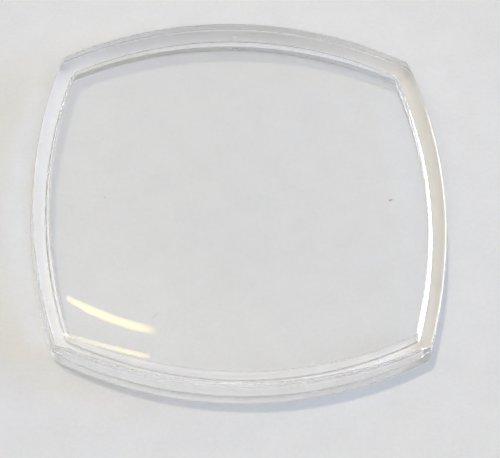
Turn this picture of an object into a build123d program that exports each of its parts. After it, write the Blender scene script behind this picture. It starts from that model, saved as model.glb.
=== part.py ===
from build123d import *
import math
import os

os.makedirs("parts", exist_ok=True)

# Clear moulded watch crystal, dome up: a low domed plate on a flared rim, hollow below.
# Origin under the middle of the foot, +Y to 12 o'clock, +Z up out of the dial.

# Driving dimensions, mm and degrees
foot_width = 32.74  # across the foot from 9 to 3 o'clock, the widest place
foot_length = 32.2  # across the foot from 12 to 6 o'clock
side_bow_radius = 39.35  # plan curve of the 9 and 3 o'clock sides at the foot
end_bow_radius = 31.35  # plan curve of the 12 and 6 o'clock ends at the foot
corner_radius = 0.85  # rounding of the four outer corners
crown_height = 3.72  # foot to the middle of the dome
dome_radius = 178.0  # outer face of the dome
plate_thickness = 1.25  # dome to the hollow's ceiling
side_breadth = 1.36  # flat seat of the rim at 9 and 3 o'clock
end_breadth = 1.55  # flat seat of the rim at 12 and 6 o'clock
draft = 6.35  # both walls of the rim lean in by this to leave the mould
hollow_corner_radius = 0.4  # rounding of the hollow's four corners
top_edge_radius = 0.3  # wear and polish on the upper edge
ceiling_fillet_radius = 0.2  # where the rim meets the ceiling
seat_edge_break = 0.08  # small chamfer on both edges of the seat
gate_radius = 0.25  # trimmed gate in the seat at 12 o'clock
gate_depth = 0.08
overrun = 0.5  # drawn past the dome before it is cut to shape

# Derived places
side_centre = side_bow_radius - foot_width / 2
end_centre = end_bow_radius - foot_length / 2
dome_centre = crown_height - dome_radius
gate_y = foot_length / 2 - end_breadth / 2


def flared(side_inset, end_inset, rise, corner):
    """A cushion whose walls lean in by the draft: four crossing cones, drawn in from the edge, corners rounded."""
    lean = rise * math.tan(math.radians(draft))
    end_radius = end_bow_radius - end_inset
    side_radius = side_bow_radius - side_inset
    foot_up = (Align.CENTER, Align.CENTER, Align.MIN)
    with BuildPart() as body:
        with Locations((0, -end_centre, 0)):
            Cone(end_radius, end_radius - lean, rise, align=foot_up)
        with Locations((0, end_centre, 0)):
            Cone(end_radius, end_radius - lean, rise, align=foot_up, mode=Mode.INTERSECT)
        with Locations(Location((-side_centre, 0, 0), (0, 0, 90))):
            Cone(side_radius, side_radius - lean, rise, align=foot_up, mode=Mode.INTERSECT)
        with Locations((side_centre, 0, 0)):
            Cone(side_radius, side_radius - lean, rise, align=foot_up, mode=Mode.INTERSECT)
        fillet(body.edges().group_by(Axis.Z)[1], corner)
    return body.part


# The hollow under the plate, its ceiling concentric with the dome
with BuildPart() as hollow:
    add(flared(side_breadth, end_breadth, crown_height, hollow_corner_radius))
    with Locations((0, 0, dome_centre)):
        Sphere(dome_radius - plate_thickness, rotation=(90, 0, 0), mode=Mode.INTERSECT)
    ceiling = hollow.faces().sort_by(Axis.Z)[-1]
    fillet(ceiling.outer_wire().edges(), ceiling_fillet_radius)

# The crystal: the flared rim cut off by the dome, then hollowed
with BuildPart() as crystal:
    add(flared(0, 0, crown_height + overrun, corner_radius))
    with Locations((0, 0, dome_centre)):
        Sphere(dome_radius, rotation=(90, 0, 0), mode=Mode.INTERSECT)
    dome = crystal.faces().sort_by(Axis.Z)[-1]
    fillet(dome.outer_wire().edges(), top_edge_radius)
    add(hollow.part, mode=Mode.SUBTRACT)
    seat = crystal.faces().filter_by(Plane.XY).sort_by(Axis.Z)[0]
    chamfer(seat.edges(), seat_edge_break)
    with Locations((0, gate_y, 0)):
        Cylinder(gate_radius, gate_depth, align=(Align.CENTER, Align.CENTER, Align.MIN), mode=Mode.SUBTRACT)

crystal.part.label = "crystal"
export_step(crystal.part, "parts/crystal.step")
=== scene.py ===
"""Looks of the clear watch crystal: polished acrylic on pale paper, seen from above and close."""

import math

import bpy
from mathutils import Matrix, Vector

MM = 0.001

# Camera, aimed at a point on the paper
VIEW_AZIMUTH = math.radians(-10.03)
VIEW_ELEVATION = math.radians(63.72)
VIEW_ROLL = math.radians(9.38)
VIEW_DISTANCE = 121.2 * MM
VIEW_TARGET = Vector((0.85, -1.555, 0.0)) * MM
FOCAL_PER_WIDTH = 3.074
SENSOR_WIDTH = 36.0

# The crystal's own sizes, for its normals and its seat
DOME_RADIUS = 178.0 * MM
CROWN_HEIGHT = 3.72 * MM
PLATE_THICKNESS = 1.25 * MM
SEAT_HEIGHT = (0.03 * MM, 0.06 * MM)  # lower points belong to the seat, higher ones don't

ACRYLIC_IOR = 1.49
SEAT_ROUGHNESS = 0.45
# A point is on a sphere within this distance, if the mesh's normal agrees with the sphere's
SHELL_WIDTH = 0.012 * MM
NORMAL_MATCH = 0.999

# Marks on the dome: place and half size in mm, turn in degrees, strength
MARKS = {
    "dust": ((11.6, -0.6), (0.16, 0.08), 20, 0.5),
    "fleck": ((-10.5, -0.6), (0.09, 0.09), 0, 0.18),
    "grit": ((9.85, -13.8), (0.07, 0.07), 0, 0.35),
    "hair": ((-14.7, -6.4), (0.05, 0.12), 0, 0.3),
    "scratch": ((-6.65, -10.35), (0.4, 0.03), 45, 0.16),
}
MARK_HEIGHT = (2.85 * MM, 2.907 * MM)  # marks show above, which is only on the dome
MARK_COLOUR = (0.2, 0.19, 0.18, 1)
MARK_EDGE = (1.3, 0.7)  # where a mark begins and where it is full, in half sizes
MARK_GRAIN = 0.08 * MM
MARK_GRAIN_SPAN = (0.35, 0.6)  # noise that thins a mark, up to noise that leaves it whole
MARK_THINNEST = 0.4

# Paper: pale, with fibres and a broader unevenness
PAPER_COLOUR = 0.8
PAPER_GRAIN = 0.022
PAPER_FIBRE = 0.3 * MM
PAPER_CLOUD = 2.5 * MM
PAPER_NOISE_SPAN = (0.7, 1.3)
FLOOR_HALF = 0.6
FLOOR_GAP = 0.02 * MM

# Soft light from the room: azimuth and elevation, reach and core of the glow,
# all in degrees, then level and colour
ROOM_LIGHTS = {
    "ceiling": ((250, 74), 42, 12, 0.96, (1.0, 0.98, 0.86)),
    "near_ceiling": ((270, 50), 32, 5, 0.75, (0.96, 1.0, 1.2)),
    "left_wall": ((142, 40), 50, 5, 0.75, (1.0, 0.99, 0.92)),
    "right_wall": ((30, 30), 55, 5, 0.82, (0.96, 1.0, 1.1)),
}

# Panes of light at the window's side: azimuth and elevation, size in metres, radiance, colour,
# and extra white glare that only mirror images show
PANE_DISTANCE = 1.635
PANES = {
    "window": ((8, 24), (1.3, 0.6), 6.1, (0.305, 0.49, 0.97), 4),
    "sunlit_wall": ((18.4, 14.9), (1.3, 0.84), 1.25, (1.0, 0.86, 0.4), 11),
}

# Bulb of the left lamp, in metres and watts
BULB_PLACE = Vector((-0.44, 0.75, 2.2))
BULB_WIDTH = 0.15
BULB_POWER = 14.14
BULB_COLOUR = (1.0, 0.88, 0.68)
# Shares of the bulb's light that go straight on: through the plate, into a wall,
# out of an outer wall and out of an inner wall
FLAT_PASS = 0.93
ENTRY_PASS = 0.9
OUTER_PASS = 0.03
INNER_PASS = 0.38
INNER_TO_OUTER = (-0.1, 0.1)  # rise of an inner wall's normal, and of an outer wall's
WALL_TO_FLAT = (0.9, 0.98)
# Light that the walls catch leaves by the seat: its gain near and far, and where far begins and ends
SEAT_PASS = (2.0, 0.75)
SEAT_FAR = (10 * MM, 15.5 * MM)
# The seat's light is cooler in green and blue, but not at the right, where it is also weaker
SEAT_COOL = {"Y": 1.06, "Z": 1.25}
SEAT_RIGHT = (12 * MM, 15 * MM)
SEAT_RIGHT_SHARE = 0.75

# Curved strip lamps under the ceiling, mirrored in the dome:
# first end, middle, last end and width, in metres
LAMPS = {
    "lamp": ((-0.437, 0.711), (-0.284, 0.622), (-0.113, 0.564), 0.026),
    "thin_lamp": ((-0.447, 0.573), (-0.286, 0.513), (-0.150, 0.476), 0.015),
}
LAMP_HEIGHT = 2.2
LAMP_RADIANCE = 6.3
LAMP_COLOUR = (1.0, 0.86, 0.28)
LAMP_STEPS = 24
LAMP_TIP_SHARE = 0.4  # width of the first end as a share of the full width
LAMP_TAPER = 2.0  # how fast the width grows along the lamp
LAMP_FADE = (-0.10, -0.2)  # across the room, where the lamp is out and where it is full


class Shader:
    """Builds a node tree: each method adds a node and gives back its output."""

    def __init__(self, tree):
        self.nodes = tree.nodes
        self.links = tree.links

    def feed(self, socket, value):
        """Link a socket, or set it to a plain value."""
        if isinstance(value, bpy.types.NodeSocket):
            self.links.new(value, socket)
        else:
            socket.default_value = value

    def node(self, kind, inputs):
        """A node with its named inputs fed."""
        node = self.nodes.new(kind)
        for name, value in inputs.items():
            self.feed(node.inputs[name], value)
        return node

    def maths(self, operation, *values):
        node = self.nodes.new("ShaderNodeMath")
        node.operation = operation
        for socket, value in zip(node.inputs, values):
            self.feed(socket, value)
        return node.outputs[0]

    def vector_maths(self, operation, *values):
        node = self.nodes.new("ShaderNodeVectorMath")
        node.operation = operation
        for socket, value in zip(node.inputs, values):
            self.feed(socket, value)
        return node.outputs["Value" if operation in ("LENGTH", "DOT_PRODUCT") else "Vector"]

    def map_range(self, value, span, levels, curve="LINEAR"):
        """A value carried from one span to another and clamped there."""
        ends = dict(zip(("From Min", "From Max", "To Min", "To Max"), (*span, *levels)))
        node = self.node("ShaderNodeMapRange", {"Value": value, **ends})
        node.interpolation_type = curve
        return node.outputs[0]

    def axes(self, vector):
        """The three parts of a vector."""
        return self.node("ShaderNodeSeparateXYZ", {"Vector": vector}).outputs

    def place(self):
        """A point's place in the object's own axes."""
        return self.nodes.new("ShaderNodeTexCoord").outputs["Object"]

    def grain(self, place, size, detail=2):
        """Noise with features of a given size."""
        inputs = {"Vector": place, "Scale": 1 / size, "Detail": detail}
        return self.node("ShaderNodeTexNoise", inputs).outputs["Fac"]

    def emission(self, colour, strength):
        inputs = {"Color": (*colour, 1), "Strength": strength}
        return self.node("ShaderNodeEmission", inputs).outputs[0]

    def mix(self, factor, first, second):
        """The first shader at factor zero, the second at one."""
        node = self.nodes.new("ShaderNodeMixShader")
        for socket, value in zip(node.inputs, (factor, first, second)):
            self.feed(socket, value)
        return node.outputs[0]

    def add(self, first, second):
        """Two shaders' light together."""
        node = self.nodes.new("ShaderNodeAddShader")
        self.feed(node.inputs[0], first)
        self.feed(node.inputs[1], second)
        return node.outputs[0]


def new_material(name):
    """An empty material and the builder of its nodes."""
    material = bpy.data.materials.new(name)
    material.use_nodes = True
    material.node_tree.nodes.clear()
    return material, Shader(material.node_tree)


def true_normal(shader, place):
    """The dome's and the ceiling's normals from their common centre, the mesh's own elsewhere."""
    geometry = shader.nodes.new("ShaderNodeNewGeometry").outputs
    outward = shader.vector_maths("SUBTRACT", place, (0, 0, CROWN_HEIGHT - DOME_RADIUS))
    radius = shader.vector_maths("LENGTH", outward)
    on_dome = shader.maths("COMPARE", radius, DOME_RADIUS, SHELL_WIDTH)
    on_ceiling = shader.maths("COMPARE", radius, DOME_RADIUS - PLATE_THICKNESS, SHELL_WIDTH)
    facing = shader.map_range(geometry["Backfacing"], (0, 1), (1, -1))
    turned = shader.maths("MULTIPLY", shader.maths("SUBTRACT", on_dome, on_ceiling), facing)
    exact = shader.vector_maths("MULTIPLY", shader.vector_maths("NORMALIZE", outward), turned)
    agreement = shader.vector_maths("DOT_PRODUCT", exact, geometry["Normal"])
    choice = shader.nodes.new("ShaderNodeMix")
    choice.data_type = "VECTOR"
    shader.feed(choice.inputs["Factor"], shader.maths("GREATER_THAN", agreement, NORMAL_MATCH))
    # The node's vector sockets share their names with its other sockets
    shader.feed(choice.inputs[4], geometry["Normal"])
    shader.feed(choice.inputs[5], exact)
    return choice.outputs[1]


def straight_share(shader, place):
    """Share of the bulb's light that goes straight on through a surface, as a colour.

    A ray from the paper to the bulb leaves the solid where the light enters it.
    """
    geometry = shader.nodes.new("ShaderNodeNewGeometry").outputs
    rise = shader.axes(geometry["True Normal"])["Z"]
    across, along, height = shader.axes(place)
    leaving = shader.map_range(rise, INNER_TO_OUTER, (INNER_PASS, OUTER_PASS))
    wall = shader.map_range(geometry["Backfacing"], (0, 1), (leaving, ENTRY_PASS))
    above = shader.map_range(shader.maths("ABSOLUTE", rise), WALL_TO_FLAT, (wall, FLAT_PASS))
    on_right = shader.map_range(across, SEAT_RIGHT, (0, 1))
    right_share = shader.map_range(on_right, (0, 1), (1, SEAT_RIGHT_SHARE))
    seat_gain = shader.maths("MULTIPLY", shader.map_range(along, SEAT_FAR, SEAT_PASS), right_share)
    on_seat = shader.map_range(height, SEAT_HEIGHT, (1, 0))
    share = shader.map_range(on_seat, (0, 1), (above, seat_gain))
    cool = shader.maths("MULTIPLY", on_seat, shader.maths("SUBTRACT", 1, on_right))
    colour = shader.node("ShaderNodeCombineXYZ", {"X": share})
    for channel, gain in SEAT_COOL.items():
        tint = shader.map_range(cool, (0, 1), (1, gain))
        shader.feed(colour.inputs[channel], shader.maths("MULTIPLY", share, tint))
    return colour.outputs[0]


def mark_mask(shader, place, centre, half, turn, strength):
    """Soft-edged oval spot or line on the dome."""
    spot = shader.node("ShaderNodeMapping", {
        "Vector": place,
        "Location": (centre[0] * MM, centre[1] * MM, 0),
        "Rotation": (0, 0, math.radians(turn)),
        "Scale": (half[0] * MM, half[1] * MM, 1),
    })
    spot.vector_type = "TEXTURE"
    reach = shader.vector_maths("LENGTH", spot.outputs[0])
    return shader.map_range(reach, MARK_EDGE, (0, strength))


def add_marks(shader, place, clean):
    """Specks, a hair and a scratch laid over a clean shader, on the dome only."""
    total = 0.0
    for mark in MARKS.values():
        total = shader.maths("MAXIMUM", total, mark_mask(shader, place, *mark))
    noise = shader.grain(place, MARK_GRAIN)
    broken = shader.map_range(noise, MARK_GRAIN_SPAN, (MARK_THINNEST, 1))
    on_dome = shader.map_range(shader.axes(place)["Z"], MARK_HEIGHT, (0, 1))
    cover = shader.maths("MULTIPLY", shader.maths("MULTIPLY", total, broken), on_dome)
    dust = shader.node("ShaderNodeBsdfDiffuse", {"Color": MARK_COLOUR})
    return shader.mix(cover, clean, dust.outputs[0])


def acrylic_material():
    """Clear polished acrylic with a dull seat, and for rays to the bulb a clear filter."""
    material, shader = new_material("acrylic")
    place = shader.place()
    height = shader.axes(place)["Z"]
    body = shader.node("ShaderNodeBsdfPrincipled", {
        "Base Color": (1, 1, 1, 1),
        "Transmission Weight": 1,
        "IOR": ACRYLIC_IOR,
        "Roughness": shader.map_range(height, SEAT_HEIGHT, (SEAT_ROUGHNESS, 0)),
        "Normal": true_normal(shader, place),
    })
    seen = add_marks(shader, place, body.outputs[0])
    passed = shader.node("ShaderNodeBsdfTransparent", {"Color": straight_share(shader, place)})
    to_bulb = shader.nodes.new("ShaderNodeLightPath").outputs["Is Shadow Ray"]
    surface = shader.mix(to_bulb, seen, passed.outputs[0])
    shader.node("ShaderNodeOutputMaterial", {"Surface": surface})
    return material


def paper_material():
    """Matt paper whose shade wanders a little with two grains."""
    material, shader = new_material("paper")
    place = shader.place()
    fibre = shader.grain(place, PAPER_FIBRE, detail=4)
    cloud = shader.grain(place, PAPER_CLOUD, detail=3)
    both = shader.maths("ADD", fibre, cloud)
    levels = (PAPER_COLOUR - PAPER_GRAIN, PAPER_COLOUR + PAPER_GRAIN)
    shade = shader.map_range(both, PAPER_NOISE_SPAN, levels)
    sheet = shader.node("ShaderNodeBsdfDiffuse", {"Color": shade})
    shader.node("ShaderNodeOutputMaterial", {"Surface": sheet.outputs[0]})
    return material


def pane_material(name, colour, radiance, glare):
    """Coloured light, and white glare for paths that mirror or bend but never meet a matt surface."""
    material, shader = new_material(name)
    path = shader.nodes.new("ShaderNodeLightPath").outputs
    unspread = shader.maths("LESS_THAN", path["Diffuse Depth"], 0.5)
    mirrored = shader.maths("MULTIPLY", path["Is Glossy Ray"], unspread)
    extra = shader.emission((1, 1, 1), shader.maths("MULTIPLY", mirrored, glare))
    surface = shader.add(shader.emission(colour, radiance), extra)
    shader.node("ShaderNodeOutputMaterial", {"Surface": surface})
    material.cycles.emission_sampling = "NONE"
    return material


def lamp_material():
    """Warm lamp that fades out at its last end."""
    material, shader = new_material("lamp_glow")
    across = shader.axes(shader.place())["X"]
    strength = shader.map_range(across, LAMP_FADE, (0, LAMP_RADIANCE), "SMOOTHSTEP")
    shader.node("ShaderNodeOutputMaterial", {"Surface": shader.emission(LAMP_COLOUR, strength)})
    material.cycles.emission_sampling = "NONE"
    return material


def new_sheet(name, points, faces, material):
    """A flat mesh object in the scene."""
    mesh = bpy.data.meshes.new(name)
    mesh.from_pydata(points, [], faces)
    mesh.materials.append(material)
    sheet = bpy.data.objects.new(name, mesh)
    bpy.context.scene.collection.objects.link(sheet)
    return sheet


def toward(azimuth, elevation):
    """A direction from its azimuth, counted from 3 o'clock to 12 o'clock, and elevation, in degrees."""
    azimuth, elevation = math.radians(azimuth), math.radians(elevation)
    return Vector((
        math.cos(elevation) * math.cos(azimuth),
        math.cos(elevation) * math.sin(azimuth),
        math.sin(elevation),
    ))


def add_floor():
    corners = ((-1, -1), (1, -1), (1, 1), (-1, 1))
    points = [(x * FLOOR_HALF, y * FLOOR_HALF, -FLOOR_GAP) for x, y in corners]
    floor = new_sheet("floor", points, [(0, 1, 2, 3)], paper_material())


def set_world():
    """A pale room, bright overhead and at the sides, dim beyond the crystal."""
    world = bpy.data.worlds.new("room")
    world.use_nodes = True
    world.node_tree.nodes.clear()
    shader = Shader(world.node_tree)
    direction = shader.nodes.new("ShaderNodeTexCoord").outputs["Generated"]
    light = shader.node("ShaderNodeBackground", {"Strength": 0}).outputs[0]
    for centre, reach, core, level, colour in ROOM_LIGHTS.values():
        nearness = shader.vector_maths("DOT_PRODUCT", direction, toward(*centre))
        span = (math.cos(math.radians(reach)), math.cos(math.radians(core)))
        strength = shader.map_range(nearness, span, (0, level), "SMOOTHSTEP")
        glow = shader.node("ShaderNodeBackground", {"Color": (*colour, 1), "Strength": strength})
        light = shader.add(light, glow.outputs[0])
    shader.node("ShaderNodeOutputWorld", {"Surface": light})
    world.cycles.sampling_method = "NONE"
    bpy.context.scene.world = world


def add_pane(name, centre, size, radiance, colour, glare):
    """A glowing sheet in the room's wall that faces the crystal."""
    place = PANE_DISTANCE * toward(*centre)
    side = place.cross((0, 0, 1)).normalized() * size[0] / 2
    rise = side.cross(place).normalized() * size[1] / 2
    points = [place - side - rise, place + side - rise, place + side + rise, place - side + rise]
    pane = new_sheet(name, points, [(0, 1, 2, 3)], pane_material(name, colour, radiance, glare))


def add_bulb():
    """A round lamp that lights the paper and is not itself seen in the crystal."""
    light = bpy.data.lights.new("bulb", "AREA")
    light.shape = "DISK"
    light.size = BULB_WIDTH
    light.energy = BULB_POWER
    light.color = BULB_COLOUR
    bulb = bpy.data.objects.new("bulb", light)
    aim = BULB_PLACE.to_track_quat("Z", "Y").to_matrix().to_4x4()
    bulb.matrix_world = Matrix.Translation(BULB_PLACE) @ aim
    bulb.visible_transmission = False
    bulb.visible_glossy = False
    bpy.context.scene.collection.objects.link(bulb)


def circle_through(first, middle, last):
    """Centre and radius of the circle through three points in a plane."""
    ax, ay = first[0] - middle[0], first[1] - middle[1]
    bx, by = last[0] - middle[0], last[1] - middle[1]
    cross = 2 * (ax * by - ay * bx)
    a_long, b_long = ax * ax + ay * ay, bx * bx + by * by
    x = (by * a_long - ay * b_long) / cross
    y = (ax * b_long - bx * a_long) / cross
    return (middle[0] + x, middle[1] + y), math.hypot(x, y)


def add_lamp(name, first, middle, last, width, material):
    """A flat strip along an arc, narrower at its first end, facing down."""
    (x, y), radius = circle_through(first, middle, last)
    start = math.atan2(first[1] - y, first[0] - x)
    sweep = math.atan2(last[1] - y, last[0] - x) - start
    sweep -= math.tau * round(sweep / math.tau)
    points = []
    for step in range(LAMP_STEPS + 1):
        share = step / LAMP_STEPS
        half = width / 2 * min(1, LAMP_TIP_SHARE + LAMP_TAPER * share)
        turn = start + sweep * share
        for reach in (radius - half, radius + half):
            points.append((x + reach * math.cos(turn), y + reach * math.sin(turn), LAMP_HEIGHT))
    faces = [(2 * step, 2 * step + 1, 2 * step + 3, 2 * step + 2) for step in range(LAMP_STEPS)]
    lamp = new_sheet(name, points, faces, material)


def view_axes(azimuth, elevation, roll):
    """Camera axes (right, up, back) for a view direction and a turn about it."""
    back = Vector((
        math.sin(azimuth) * math.cos(elevation),
        -math.cos(azimuth) * math.cos(elevation),
        math.sin(elevation),
    ))
    level = (-back).cross(Vector((0, 0, 1))).normalized()
    upright = level.cross(-back)
    right = math.cos(roll) * level + math.sin(roll) * upright
    up = math.cos(roll) * upright - math.sin(roll) * level
    return right, up, back


def add_camera():
    right, up, back = view_axes(VIEW_AZIMUTH, VIEW_ELEVATION, VIEW_ROLL)
    lens = bpy.data.cameras.new("camera")
    lens.sensor_width = SENSOR_WIDTH
    lens.lens = SENSOR_WIDTH * FOCAL_PER_WIDTH
    lens.clip_start = MM
    camera = bpy.data.objects.new("camera", lens)
    turn = Matrix((right, up, back)).transposed().to_4x4()
    camera.matrix_world = Matrix.Translation(VIEW_TARGET + back * VIEW_DISTANCE) @ turn
    bpy.context.scene.collection.objects.link(camera)
    bpy.context.scene.camera = camera


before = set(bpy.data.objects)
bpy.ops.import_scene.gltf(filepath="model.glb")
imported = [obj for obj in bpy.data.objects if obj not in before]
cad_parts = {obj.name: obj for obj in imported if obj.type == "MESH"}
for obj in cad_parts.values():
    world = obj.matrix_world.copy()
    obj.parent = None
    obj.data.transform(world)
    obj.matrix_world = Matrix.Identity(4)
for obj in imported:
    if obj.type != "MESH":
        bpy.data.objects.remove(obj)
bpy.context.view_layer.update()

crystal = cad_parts["crystal"]
crystal.data.materials.clear()
crystal.data.materials.append(acrylic_material())

scene = bpy.context.scene
scene.view_settings.view_transform = "Standard"
# Light crosses the rim many times, and its mirror images stay sharp
scene.cycles.max_bounces = 24
scene.cycles.transmission_bounces = 24
scene.cycles.glossy_bounces = 12
scene.cycles.transparent_max_bounces = 24
scene.cycles.caustics_reflective = True
scene.cycles.caustics_refractive = True
scene.cycles.blur_glossy = 0

add_floor()
set_world()
for name, pane in PANES.items():
    add_pane(name, *pane)
add_bulb()
glow = lamp_material()
for name, lamp in LAMPS.items():
    add_lamp(name, *lamp, glow)
add_camera()
